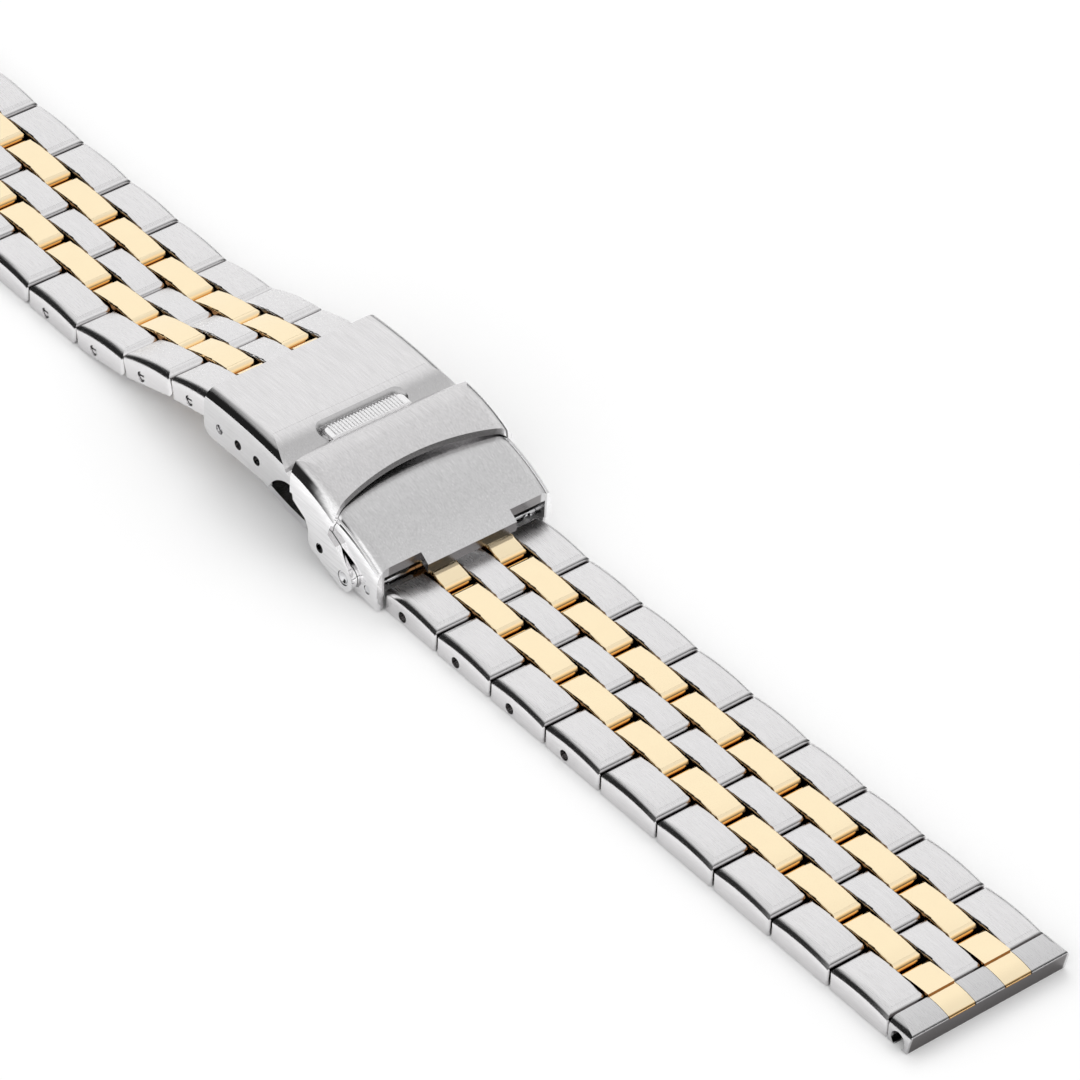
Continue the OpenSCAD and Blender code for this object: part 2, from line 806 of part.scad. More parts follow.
module clasp_cover() {
    depth = 2 * (cover_top - skirt_z);
    sweep = 40;
    color(steel)
        in_clasp()
            difference() {
                intersection() {
                    arched(cover_axis, cover_arch_r, sweep)
                        arch_section(depth, clasp_half, clasp_edge_r);
                    along_y(2 * clasp_half)
                        intersection() {
                            cover_outline();
                            roof_side(0);
                        }
                }
                difference() {
                    along_y(2 * inner_half)
                        intersection() {
                            arch_disc(cover_axis, cover_arch_r - wall);
                            roof_side(wall);
                            translate([-far_cut, 0])
                                square([far_cut, cover_top]);
                        }
                    pocket(pocket_floor);
                    cover_arms();
                }
                pocket(0);
                for (n = [0:2])
                    rod_at(-hole_back + n * hole_step, hole_z, hole_r);
                translate([-cover_hinge_back, 0, cover_hinge_z])
                    rod(hinge_pin_r + press_gap, -band_w / 2, band_w / 2);
            }
}

// The room of the pocket, or with a skin the room and its floor of that thickness
module pocket(skin) {
    end_y = (pocket_w - pocket_l) / 2;
    lean = asin((cover_crown - pocket_back) / cover_arch_r);
    translate([cover_axis.x, 0, cover_axis.y])
        rotate([0, lean, 0])
            translate([0, 0, cover_arch_r + brim_rise]) {
                along_y(2 * end_y)
                    for (m = [0, 1])
                        mirror([m, 0])
                            pocket_profile(skin);
                for (y = [-end_y, end_y])
                    translate([0, y, 0])
                        rotate_extrude($fn = 96)
                            pocket_profile(skin);
            }
}

// Half of the pocket's outline, from its middle to the brim, with the roof's surface at zero
module pocket_profile(skin) {
    brim_x = pocket_l / 2;
    lean = acos(1 - pocket_depth / (brim_r + foot_r));
    foot = [brim_x - (brim_r + foot_r) * sin(lean), foot_r - pocket_depth];
    brim = [brim_x, -brim_r];
    difference() {
        union() {
            translate([0, -pocket_depth - skin])
                square([foot.x, 2 * pocket_depth]);
            intersection() {
                translate(foot)
                    circle(foot_r + skin);
                square([2 * pocket_l, 4 * pocket_depth], center = true);
                translate([0, -2 * pocket_depth])
                    square([pocket_l, 4 * pocket_depth]);
            }
            polygon([foot, brim, [brim.x, pocket_depth], [foot.x, pocket_depth]]);
        }
        translate(brim)
            circle(brim_r - skin);
    }
}

// The two arms that hang from the cover's roof and hold its hinge pin
module cover_arms() {
    both_sides()
        slab(middle_w / 2 + knuckle_gap, middle_w / 2 + knuckle_gap + arm_t) {
            translate([-cover_hinge_back, cover_hinge_z])
                circle(knuckle_r);
            translate([-cover_hinge_back - knuckle_r, cover_hinge_z])
                square([2 * knuckle_r, cover_top - cover_hinge_z]);
        }
}

module cover_hinge_pin() {
    half = middle_w / 2 + knuckle_gap + arm_t;
    color(bright)
        in_clasp()
            translate([-cover_hinge_back, 0, cover_hinge_z])
                rod(hinge_pin_r, -half, half);
}

// Outline of a flap's ear, from the band down to the eye round the rivet
module ear_outline() {
    eye_low = [-rivet_back - eye_r * sin(25), rivet_z - eye_r * cos(25)];
    eye_high = [-rivet_back + eye_r * sin(45), rivet_z + eye_r * cos(45)];
    polygon([
        [-ear_far, band_top],
        [-ear_far, ear_turn_z],
        [-ear_far + edge_r, (2 * ear_turn_z + heel_high) / 3],
        [-heel_back - ear_t, (ear_turn_z + 2 * heel_high) / 3],
        [-heel_back, heel_high],
        [-heel_back, heel_low],
        [-heel_back + ear_t, heel_low - ear_t],
        eye_low,
        eye_high,
        [-rivet_back - ear_t, heel_high],
        [-(rivet_back + notch_back) / 2, (heel_high + notch_z) / 2],
        [-notch_back, notch_z],
        [-ear_near, ear_turn_z],
        [-ear_near, band_top]
    ]);
    translate([-rivet_back, rivet_z])
        circle(eye_r);
}

// Side outline under the band's top, or at a depth under it, where it rolls down to the far edge
module band_side(depth) {
    lean = asin((band_crown - roll_back) / band_arch_r);
    up = [sin(lean), cos(lean)];
    centre = band_axis + (band_arch_r - roll_r) * up - [0, eps];
    polygon([centre, centre + far_cut * up, [far_cut, far_cut], [far_cut, -far_cut], [centre.x, -far_cut]]);
    translate(centre)
        circle(roll_r - depth, $fn = 120);
    translate(centre - [far_cut, far_cut])
        square(far_cut);
}

// The flap's outer form, or with a depth the room inside it
module band_shell(half, depth, r) {
    sweep = 150;
    section_depth = band_top + 1;
    intersection() {
        arched(band_axis, band_arch_r - depth, sweep)
            arch_section(section_depth, half, r);
        along_y(2 * half)
            band_side(depth);
    }
}

module safety_flap() {
    color(steel)
        in_clasp()
            difference() {
                union() {
                    intersection() {
                        band_shell(ear_out, 0, clasp_edge_r + band_t);
                        union() {
                            difference() {
                                band_plan();
                                band_shell(ear_in, band_t, clasp_edge_r);
                                translate([-far_cut, -far_cut, -far_cut + scallop_top])
                                    cube([2 * far_cut, 2 * far_cut, far_cut]);
                                translate([-band_crown - far_cut, -far_cut, far_low - far_cut])
                                    cube([far_cut, 2 * far_cut, far_cut]);
                            }
                            both_sides()
                                slab(ear_in, ear_out)
                                    ear_outline();
                        }
                    }
                    both_sides()
                        translate([-rivet_back, 0, rivet_z])
                            rod(eye_r - edge_r, side_half + ear_gap, ear_in + ear_t / 2);
                    knurled_lip();
                }
                translate([-rivet_back, 0, rivet_z])
                    rod(rivet_r + running_gap, -far_cut, far_cut);
                translate([-ear_hole_back, 0, ear_hole_z])
                    rod(ear_hole_r, -far_cut, far_cut);
            }
}

// The band seen from above: a crescent between two arcs
module band_plan() {
    linear_extrude(height = far_cut)
        difference() {
            translate([-band_far + far_edge_r, 0])
                circle(far_edge_r, $fn = 240);
            translate([-band_front + front_edge_r, 0])
                circle(front_edge_r, $fn = 240);
            translate([0, -far_cut])
                square(2 * far_cut);
        }
}

// The lip reaches from the band's far edge over the pocket and has ribs along it
module knurled_lip() {
    root = [-band_far + band_t, lip_root_z];
    tip = [-lip_far, lip_z - lip_t / 2];
    slope = atan2(root.y - tip.y, root.x - tip.x);
    l = norm(root - tip);
    rib_step = (lip_w - 3 * lip_t) / (rib_count - 1);
    translate([tip.x, 0, tip.y])
        rotate([0, -slope, 0]) {
            intersection() {
                translate([0, -lip_w / 2, -lip_t / 2])
                    cube([l, lip_w, lip_t]);
                translate([0, -lip_w / 2, -1])
                    linear_extrude(height = 2)
                        rounded_plate([2 * l, lip_w], [lip_t, 0, 0, lip_t]);
            }
            for (n = [0:rib_count - 1])
                translate([-rib_tip, (n - (rib_count - 1) / 2) * rib_step, lip_t / 2 - rib_sink])
                    rotate([0, 90, 0])
                        cylinder(r = rib_r, h = l - band_t + rib_tip, $fn = 16);
        }
}

module flap_rivets() {
    color(bright)
        in_clasp()
            both_sides()
                translate([-rivet_back, 0, rivet_z])
                    difference() {
                        union() {
                            rod(rivet_head_r, inner_half - rivet_head_t, inner_half);
                            rod(rivet_r, inner_half - eps, ear_out - edge_r / 2);
                        }
                        translate([0, ear_out + rivet_r / 2, 0])
                            sphere(rivet_r);
                    }
}

// Side wall of the end piece, from its sloping bottom edge up to the arch
module side_outline() {
    polygon([
        [-side_back, side_low + side_rise],
        [side_front, side_low],
        [side_front, end_arch_top],
        [-side_back, end_arch_top]
    ]);
}

module end_piece() {
    sweep = 90;
    color(steel)
        in_clasp()
            difference() {
                union() {
                    intersection() {
                        arched(end_axis, end_arch_r, sweep)
                            arch_section(rim_depth, clasp_half, clasp_edge_r);
                        translate([-plate_back, 0, 0])
                            linear_extrude(height = far_cut)
                                plate_plan();
                    }
                    both_sides()
                        slab(inner_half, side_half)
                            intersection() {
                                side_outline();
                                arch_disc(end_axis, end_arch_r - wall / 2);
                            }
                }
                along_y(2 * inner_half)
                    arch_disc(end_axis, end_arch_r - wall);
                rod_at(0, bar_z, tip_r + running_gap);
                rod_at(-rivet_back, rivet_z, rivet_r + press_gap);
            }
}

// A hole right across the clasp
module rod_at(x, z, r) {
    translate([x, 0, z])
        rod(r, -far_cut, far_cut);
}

// The end piece's plate seen from above, with its front corners set back beside the tongue
module plate_plan() {
    l = plate_back + plate_front;
    translate([0, -tongue_w / 2])
        square([l, tongue_w]);
    translate([0, -clasp_half])
        square([l - notch_depth, 2 * clasp_half]);
}

// Lower blade: flat under the end piece, then rising to the blade hinge
module lower_blade() {
    arch_centre = [-lower_bend, lower_z + lower_arch_r];
    knuckle_half = lower_w / 2;
    slot_half = neck_w / 2 + knuckle_gap;
    color(bright)
        in_clasp()
            difference() {
                union() {
                    slab(-lower_w / 2, lower_w / 2) {
                        translate([-lower_bend, lower_z - blade_t / 2])
                            square([lower_bend - lower_near, blade_t]);
                        intersection() {
                            difference() {
                                translate(arch_centre)
                                    circle(lower_arch_r + blade_t / 2, $fn = 240);
                                translate(arch_centre)
                                    circle(lower_arch_r - blade_t / 2, $fn = 240);
                            }
                            translate([-blade_hinge_back, 0])
                                square([blade_hinge_back - lower_bend, blade_hinge_z + knuckle_r]);
                        }
                    }
                    slab(-inner_half, inner_half)
                        translate([-side_back, lower_z - blade_t / 2])
                            square([side_back - rivet_back - rivet_head_r - running_gap, blade_t]);
                    translate([-blade_hinge_back, 0, blade_hinge_z])
                        rod(knuckle_r, -knuckle_half, knuckle_half);
                    translate([-cross_bar_back, 0, lower_z + blade_t / 2 + cross_bar_r / 2])
                        rod(cross_bar_r, -band_w / 2, band_w / 2);
                }
                translate([-neck_back - far_cut, -slot_half, 0])
                    cube([far_cut, 2 * slot_half, cover_top]);
                translate([-blade_hinge_back, 0, blade_hinge_z])
                    rod(hinge_pin_r + press_gap, -far_cut, far_cut);
            }
}

// Middle blade: a neck at the blade hinge and a full-width knuckle at the cover's hinge
module middle_blade() {
    low = [-blade_hinge_back, blade_hinge_z];
    high = [-cover_hinge_back, cover_hinge_z];
    slope = atan2(high.y - low.y, high.x - low.x);
    l = norm(high - low);
    neck_l = blade_hinge_back - neck_back + knuckle_gap;
    color(bright)
        in_clasp()
            translate([low.x, 0, low.y])
                rotate([0, -slope, 0])
                    difference() {
                        union() {
                            rod(knuckle_r, -neck_w / 2, neck_w / 2);
                            translate([0, -neck_w / 2, -blade_t / 2])
                                cube([l, neck_w, blade_t]);
                            translate([neck_l, -middle_w / 2, -blade_t / 2])
                                cube([l - neck_l, middle_w, blade_t]);
                            translate([l, 0, 0])
                                rod(knuckle_r, -middle_w / 2, middle_w / 2);
                        }
                        rod(hinge_pin_r + running_gap, -far_cut, far_cut);
                        translate([l, 0, 0])
                            rod(hinge_pin_r + running_gap, -far_cut, far_cut);
                    }
}

module blade_hinge_pin() {
    color(bright)
        in_clasp()
            translate([-blade_hinge_back, 0, blade_hinge_z])
                rod(hinge_pin_r, -lower_w / 2, lower_w / 2);
}

for (s = STRAPS) {
    short_gold_links(s);
    for (k = [1:rows])
        steel_links(s, k);
    for (k = [1:rows - 1])
        gold_links(s, k);
    end_link(s);
    end_lugs(s);
    spring_bar_tube(s);
    spring_bar_coil(s);
    near_plunger(s);
    far_plunger(s);
}
clasp_cover();
safety_flap();
end_piece();
flap_rivets();
lower_blade();
middle_blade();
blade_hinge_pin();
cover_hinge_pin();
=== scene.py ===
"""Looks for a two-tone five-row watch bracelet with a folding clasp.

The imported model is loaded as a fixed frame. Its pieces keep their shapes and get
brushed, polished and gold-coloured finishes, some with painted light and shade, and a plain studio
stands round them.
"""

import logging
import math
from dataclasses import dataclass, field
from enum import Enum
from typing import ClassVar, Iterable, Mapping, Optional, Sequence, Union

import bmesh
import bpy
from mathutils import Matrix, Vector


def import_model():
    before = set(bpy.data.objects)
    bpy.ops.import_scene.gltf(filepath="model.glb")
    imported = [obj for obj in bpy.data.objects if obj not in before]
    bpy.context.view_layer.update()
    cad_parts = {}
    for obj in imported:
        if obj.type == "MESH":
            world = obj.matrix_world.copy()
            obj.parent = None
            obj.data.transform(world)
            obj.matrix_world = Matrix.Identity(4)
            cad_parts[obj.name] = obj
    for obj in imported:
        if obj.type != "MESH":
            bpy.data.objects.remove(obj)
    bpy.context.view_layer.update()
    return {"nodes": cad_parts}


MM = 0.001
LOG = logging.getLogger("bracelet")
BLACK = (0.0, 0.0, 0.0)
WHITE = (1.0, 1.0, 1.0)

Colour = tuple[float, float, float]
Span = tuple[float, float]
Input = Union["Wire", float, int, Sequence[float]]
Nodes = Mapping[str, bpy.types.Object]


class Side(Enum):
    """The two straps, named for the watch's hours that they meet."""

    SIX = 6
    TWELVE = 12


class Rays(Enum):
    """Kinds of ray that a studio piece can be left out of."""

    CAMERA = "visible_camera"
    DIFFUSE = "visible_diffuse"
    GLOSSY = "visible_glossy"
    TRANSMISSION = "visible_transmission"
    SHADOW = "visible_shadow"


class Wire:
    """A node's output socket that stands in Python expressions and adds Math nodes."""

    def __init__(self, graph: "Graph", socket: bpy.types.NodeSocket) -> None:
        """Keeps the graph and the socket.

        Args:
            graph: The graph that new nodes go into.
            socket: The output socket that this wire stands for.
        """
        self.graph = graph
        self.socket = socket

    def _math(self, operation: str, first: Input, second: Input = 0.0) -> "Wire":
        """Adds one Math node.

        Args:
            operation: The Math node's operation.
            first: Its first value.
            second: Its second value.

        Returns:
            The node's output.
        """
        made = self.graph.node("ShaderNodeMath", {"operation": operation}, {0: first, 1: second})
        return self.graph.out(made)

    def __add__(self, other: Input) -> "Wire":
        """Sum."""
        return self._math("ADD", self, other)

    def __radd__(self, other: Input) -> "Wire":
        """Sum with the number first."""
        return self._math("ADD", other, self)

    def __sub__(self, other: Input) -> "Wire":
        """Difference."""
        return self._math("SUBTRACT", self, other)

    def __rsub__(self, other: Input) -> "Wire":
        """Difference with the number first."""
        return self._math("SUBTRACT", other, self)

    def __mul__(self, other: Input) -> "Wire":
        """Product."""
        return self._math("MULTIPLY", self, other)

    def __rmul__(self, other: Input) -> "Wire":
        """Product with the number first."""
        return self._math("MULTIPLY", other, self)

    def __pow__(self, other: Input) -> "Wire":
        """Power."""
        return self._math("POWER", self, other)

    def __rpow__(self, other: Input) -> "Wire":
        """Power of the number."""
        return self._math("POWER", other, self)

    def __abs__(self) -> "Wire":
        """Absolute value."""
        return self._math("ABSOLUTE", self)

    def over(self, other: Input) -> "Wire":
        """The larger of the two."""
        return self._math("MAXIMUM", self, other)

    def turn(self, other: Input) -> "Wire":
        """The angle, in degrees, whose sine side is this and whose cosine side is the other."""
        return self._math("ARCTAN2", self, other) * math.degrees(1.0)

    def step(self, low: float, high: float) -> "Wire":
        """A smooth rise from 0 at low to 1 at high.

        Args:
            low: Where the rise starts.
            high: Where it ends.

        Returns:
            The risen value.
        """
        made = self.graph.node(
            "ShaderNodeMapRange",
            {"interpolation_type": "SMOOTHSTEP"},
            {"Value": self, "From Min": low, "From Max": high, "To Min": 0.0, "To Max": 1.0},
        )
        return self.graph.out(made)


class Graph:
    """A node tree that is built from expressions."""

    # The sockets that a Mix node uses for colours
    MIX_FACTOR = 0
    MIX_FIRST = 6
    MIX_SECOND = 7
    MIX_RESULT = 2

    def __init__(self, tree: bpy.types.NodeTree) -> None:
        """Empties the tree.

        Args:
            tree: The tree of a material or of the world.
        """
        self.tree = tree
        tree.nodes.clear()

    def node(
        self,
        kind: str,
        settings: Optional[Mapping[str, object]] = None,
        inputs: Optional[Mapping[Union[str, int], Input]] = None,
    ) -> bpy.types.Node:
        """Adds any node.

        Args:
            kind: The node's type.
            settings: Its own settings, which are set first.
            inputs: The values or wires of its sockets.

        Returns:
            The new node.
        """
        made = self.tree.nodes.new(kind)
        for name, value in (settings or {}).items():
            setattr(made, name, value)
        for name, value in (inputs or {}).items():
            if isinstance(value, Wire):
                self.tree.links.new(value.socket, made.inputs[name])
            else:
                made.inputs[name].default_value = value
        return made

    def out(self, node: bpy.types.Node, name: Union[str, int] = 0) -> Wire:
        """The wire of a node's output."""
        return Wire(self, node.outputs[name])

    def parts(self, vector: Wire) -> tuple[Wire, ...]:
        """The X, Y and Z of a vector."""
        made = self.node("ShaderNodeSeparateXYZ", None, {0: vector})
        return tuple(self.out(made, axis) for axis in range(3))

    def mix(self, factor: Input, first: Input, second: Input) -> Wire:
        """Blends two colours.

        Args:
            factor: 0 for the first colour and 1 for the second.
            first: The first colour.
            second: The second colour.

        Returns:
            The blended colour.
        """
        inputs: dict[Union[str, int], Input] = {self.MIX_FACTOR: factor}
        for socket, colour in ((self.MIX_FIRST, first), (self.MIX_SECOND, second)):
            inputs[socket] = colour if isinstance(colour, Wire) else (*colour, 1.0)
        made = self.node("ShaderNodeMix", {"data_type": "RGBA"}, inputs)
        return self.out(made, self.MIX_RESULT)

    def show(self, shader: bpy.types.Node, kind: str = "ShaderNodeOutputMaterial") -> None:
        """Joins the last shader to a new output.

        Args:
            shader: The node of the last shader.
            kind: The output node's type.
        """
        self.node(kind, None, {"Surface": self.out(shader)})


def new_material(name: str) -> tuple[bpy.types.Material, Graph]:
    """Makes a material with nothing in it.

    Args:
        name: The material's name.

    Returns:
        The material and the graph of its nodes.
    """
    made = bpy.data.materials.new(name)
    made.use_nodes = True
    return made, Graph(made.node_tree)


class Spot:
    """A point of a piece, as wires: where it is, and how far its face looks up."""

    NOISE_ROUGHNESS = 0.55

    def __init__(self, graph: Graph) -> None:
        """Reads the point's coordinates.

        Args:
            graph: The material's graph.
        """
        self.graph = graph
        where = graph.node("ShaderNodeTexCoord")
        self.place = graph.out(where, "Object")
        self.x, self.y, _ = graph.parts(self.place)
        self.up = graph.parts(graph.out(where, "Normal"))[2]

    def noise(self, length: float, width: float, detail: float = 2.0) -> Wire:
        """Noise from 0 to 1.

        Args:
            length: Length of a feature along the bracelet, in metres.
            width: Its width and height, in metres.
            detail: The number of finer layers.

        Returns:
            The noise's value.
        """
        scaled = self.graph.node(
            "ShaderNodeVectorMath",
            {"operation": "MULTIPLY"},
            {0: self.place, 1: (1 / length, 1 / width, 1 / width)},
        )
        made = self.graph.node(
            "ShaderNodeTexNoise",
            {"noise_dimensions": "3D"},
            {
                "Vector": self.graph.out(scaled),
                "Scale": 1.0,
                "Detail": detail,
                "Roughness": self.NOISE_ROUGHNESS,
            },
        )
        return self.graph.out(made)


@dataclass(frozen=True)
class Metal:
    """A metal finish: brushed along the bracelet on the faces that look up, plainer elsewhere, and
    with painted light and shade where it is set.

    Lengths are in metres. A slope is the upward part of a face's normal, from 0 for a
    wall to 1 for a level face.

    Attributes:
        name: The material's name.
        tone: Its colour.
        top_roughness: Roughness of the faces that look up.
        side_roughness: Roughness of the other faces.
        relief: Depth of the brushing on the faces that look up. 0 is polished.
        side_relief: Depth of the brushing on the other faces.
        streak_length: Length of a brushing streak.
        streak_width: Its width.
        streak_shade: How much the streaks lighten and darken the colour.
        broad_share: Share of the longer and wider streaks.
        cloud_size: Size of the soft patches.
        cloud_shade: How much the patches lighten and darken the colour.
        grain_size: Size of the fine grain.
        grain_relief: Depth of the fine grain.
        painted_side_tone: Painted light and shade: colour of the faces that don't look up, lighter
            or darker than the tops, if it is another.
        side_from: Distance from the middle line at which that colour begins.
        painted_slope_shade: Painted shade of a sloping top beside a level one.
        gap_painted_shade: Painted shade: colour of the steep faces in the gaps, where shade falls,
            if it is another.
        gap_half: Distance from the middle line to which the gaps, and their painted shade, reach.
        frost_before: X up to which the finish is frosted, if any of it is.
        frost_tone: Colour of the frosted part.
        frost_roughness: Its roughness.
    """

    # Slopes between which a face turns into a top, a top is level, and a wall ends
    TOP_SLOPES: ClassVar[Span] = (0.72, 0.93)
    LEVEL_SLOPES: ClassVar[Span] = (0.93, 0.996)
    WALL_SLOPES: ClassVar[Span] = (0.15, 0.55)
    # Lengths over which tones blend into each other
    SIDE_FADE: ClassVar[float] = 0.2 * MM
    FROST_FADE: ClassVar[float] = 0.15 * MM
    # How much longer and wider the broad streaks are than the fine ones
    BROAD_LENGTH: ClassVar[float] = 3.0
    BROAD_WIDTH: ClassVar[float] = 4.0
    # The middle value of noise, and the lowest shade of a tone
    NOISE_MIDDLE: ClassVar[float] = 0.5
    DARKEST: ClassVar[float] = 0.5
    # Share of the roughness that follows the streaks, and the height of a full relief
    STREAK_ROUGHNESS: ClassVar[float] = 0.25
    RELIEF_HEIGHT: ClassVar[float] = 0.01 * MM

    name: str
    tone: Colour
    top_roughness: float
    side_roughness: float
    relief: float = 0.0
    side_relief: float = 0.0
    streak_length: float = 2.0 * MM
    streak_width: float = 0.1 * MM
    streak_shade: float = 0.17
    broad_share: float = 0.25
    cloud_size: float = 1.6 * MM
    cloud_shade: float = 0.02
    grain_size: float = 0.06 * MM
    grain_relief: float = 0.0
    painted_side_tone: Optional[Colour] = None
    side_from: float = 0.0
    painted_slope_shade: float = 1.0
    gap_painted_shade: Optional[Colour] = None
    gap_half: float = 9.6 * MM
    frost_before: Optional[float] = None
    frost_tone: Colour = (0.99, 0.985, 0.99)
    frost_roughness: float = 0.5

    def material(self) -> bpy.types.Material:
        """Builds the finish.

        Returns:
            The material.
        """
        made, graph = new_material(self.name)
        spot = Spot(graph)
        top = self._top(spot)
        fine, streak = self._streaks(spot)
        colour = self._colour(spot, top, self._shade(spot, streak))
        roughness = (
            self.side_roughness
            + top * (self.top_roughness - self.side_roughness)
            + (fine - self.NOISE_MIDDLE) * (self.STREAK_ROUGHNESS * self.top_roughness)
        )
        if self.frost_before is not None:
            frost = 1 - spot.x.step(self.frost_before - self.FROST_FADE, self.frost_before)
            colour = graph.mix(frost, colour, self.frost_tone)
            roughness = roughness + frost * (self.frost_roughness - roughness)
        bump = graph.node(
            "ShaderNodeBump",
            None,
            {
                "Strength": 1.0,
                "Distance": self.RELIEF_HEIGHT,
                "Height": self._height(spot, top, streak),
            },
        )
        surface = graph.node(
            "ShaderNodeBsdfPrincipled",
            None,
            {
                "Base Color": colour,
                "Metallic": 1.0,
                "Roughness": roughness,
                "Normal": graph.out(bump),
            },
        )
        graph.show(surface)
        return made

    def _top(self, spot: Spot) -> Wire:
        """How far a face counts as one that looks up.

        Args:
            spot: The point of the piece.

        Returns:
            1 where it does, also on every face nearer the middle line than the sides.
        """
        beside = abs(spot.y).step(self.side_from - self.SIDE_FADE, self.side_from)
        return 1 - (1 - spot.up.step(*self.TOP_SLOPES)) * beside

    def _streaks(self, spot: Spot) -> tuple[Wire, Wire]:
        """The brushing's streaks.

        Args:
            spot: The point of the piece.

        Returns:
            The fine streaks, and these together with the broad ones, from 0 to 1.
        """
        length, width = self.streak_length, self.streak_width
        fine = spot.noise(length, width, detail=3.0)
        broad = spot.noise(self.BROAD_LENGTH * length, self.BROAD_WIDTH * width, detail=1.0)
        return fine, (1 - self.broad_share) * fine + self.broad_share * broad

    def _shade(self, spot: Spot, streak: Wire) -> Wire:
        """How bright the tone is, with painted shade on sloping tops where it is set.

        Args:
            spot: The point of the piece.
            streak: The streaks, from 0 to 1.

        Returns:
            The shade, about 1.
        """
        cloud = spot.noise(self.cloud_size, self.cloud_size)
        shade = (
            1
            + (streak - self.NOISE_MIDDLE) * (2 * self.streak_shade)
            + (cloud - self.NOISE_MIDDLE) * (2 * self.cloud_shade)
        )
        # Painted shade: sloping tops darker than level ones
        if self.painted_slope_shade < 1:
            level = spot.up.step(*self.LEVEL_SLOPES)
            shade = shade * (self.painted_slope_shade + level * (1 - self.painted_slope_shade))
        return shade

    def _colour(self, spot: Spot, top: Wire, shade: Wire) -> Wire:
        """The colour of the tops, the sides with their painted light and shade, and the painted
        shade in the gaps.

        Args:
            spot: The point of the piece.
            top: How far a face counts as one that looks up.
            shade: How bright the tone is.

        Returns:
            The colour, without frost.
        """
        colour = self._shaded(spot.graph, shade, self.tone)
        # Painted light and shade: faces that don't look up take another tone than the tops
        if self.painted_side_tone:
            colour = spot.graph.mix(top, self._shaded(spot.graph, shade, self.painted_side_tone), colour)
        # Painted shade: steep faces near the middle line, in the gaps between parts, take a darker
        # colour
        if self.gap_painted_shade:
            wall = 1 - abs(spot.up).step(*self.WALL_SLOPES)
            inner = 1 - abs(spot.y).step(self.gap_half, self.gap_half + self.SIDE_FADE)
            colour = spot.graph.mix(wall * inner, colour, self.gap_painted_shade)
        return colour

    def _height(self, spot: Spot, top: Wire, streak: Wire) -> Wire:
        """The relief of the brushing and of the fine grain.

        Args:
            spot: The point of the piece.
            top: How far a face counts as one that looks up.
            streak: The streaks, from 0 to 1.

        Returns:
            The height, where 1 is a full relief.
        """
        height = streak * (top * self.relief + (1 - top) * self.side_relief)
        if self.grain_relief:
            height = height + spot.noise(self.grain_size, self.grain_size) * self.grain_relief
        return height

    def _shaded(self, graph: Graph, shade: Wire, tone: Colour) -> Wire:
        """A tone that is darker and brighter in places.

        Args:
            graph: The material's graph.
            shade: What the tone is multiplied by, from the darkest shade to 1 above it.
            tone: The tone.

        Returns:
            The colour.
        """
        dark = tuple(c * self.DARKEST for c in tone)
        bright = tuple(c * (self.DARKEST + 1) for c in tone)
        return graph.mix(shade - self.DARKEST, dark, bright)


@dataclass(frozen=True)
class StrapSteel(Metal):
    """The straps' steel: short streaks, and painted shade, dark, on the steep faces in the gaps
    between the links.
    """

    top_roughness: float = 0.28
    side_roughness: float = 0.16
    relief: float = 0.5
    side_relief: float = 0.15
    # Painted shade in the gaps between the links
    gap_painted_shade: Optional[Colour] = (0.12, 0.11, 0.11)


@dataclass(frozen=True)
class ClaspSteel(Metal):
    """The clasp's steel: long streaks, and side walls that are polished and painted brighter than
    the tops.
    """

    top_roughness: float = 0.26
    side_roughness: float = 0.07
    relief: float = 0.4
    side_relief: float = 0.02
    streak_length: float = 3.2 * MM
    streak_width: float = 0.12 * MM
    streak_shade: float = 0.3
    broad_share: float = 0.15
    # Painted light: the side walls brighter than the tops
    painted_side_tone: Optional[Colour] = (0.92, 0.915, 0.92)
    side_from: float = 10.6 * MM


@dataclass(frozen=True)
class FlapSteel(ClaspSteel):
    """The safety flap's steel: the clasp's, with a frosted lip."""

    # X at which the flap's ribbed lip begins
    LIP_ROOT: ClassVar[float] = -1.7259 * MM

    # Painted shade on the band's steep front face, lighter than in the gap below it
    gap_painted_shade: Optional[Colour] = (0.45, 0.44, 0.44)
    frost_before: Optional[float] = LIP_ROOT


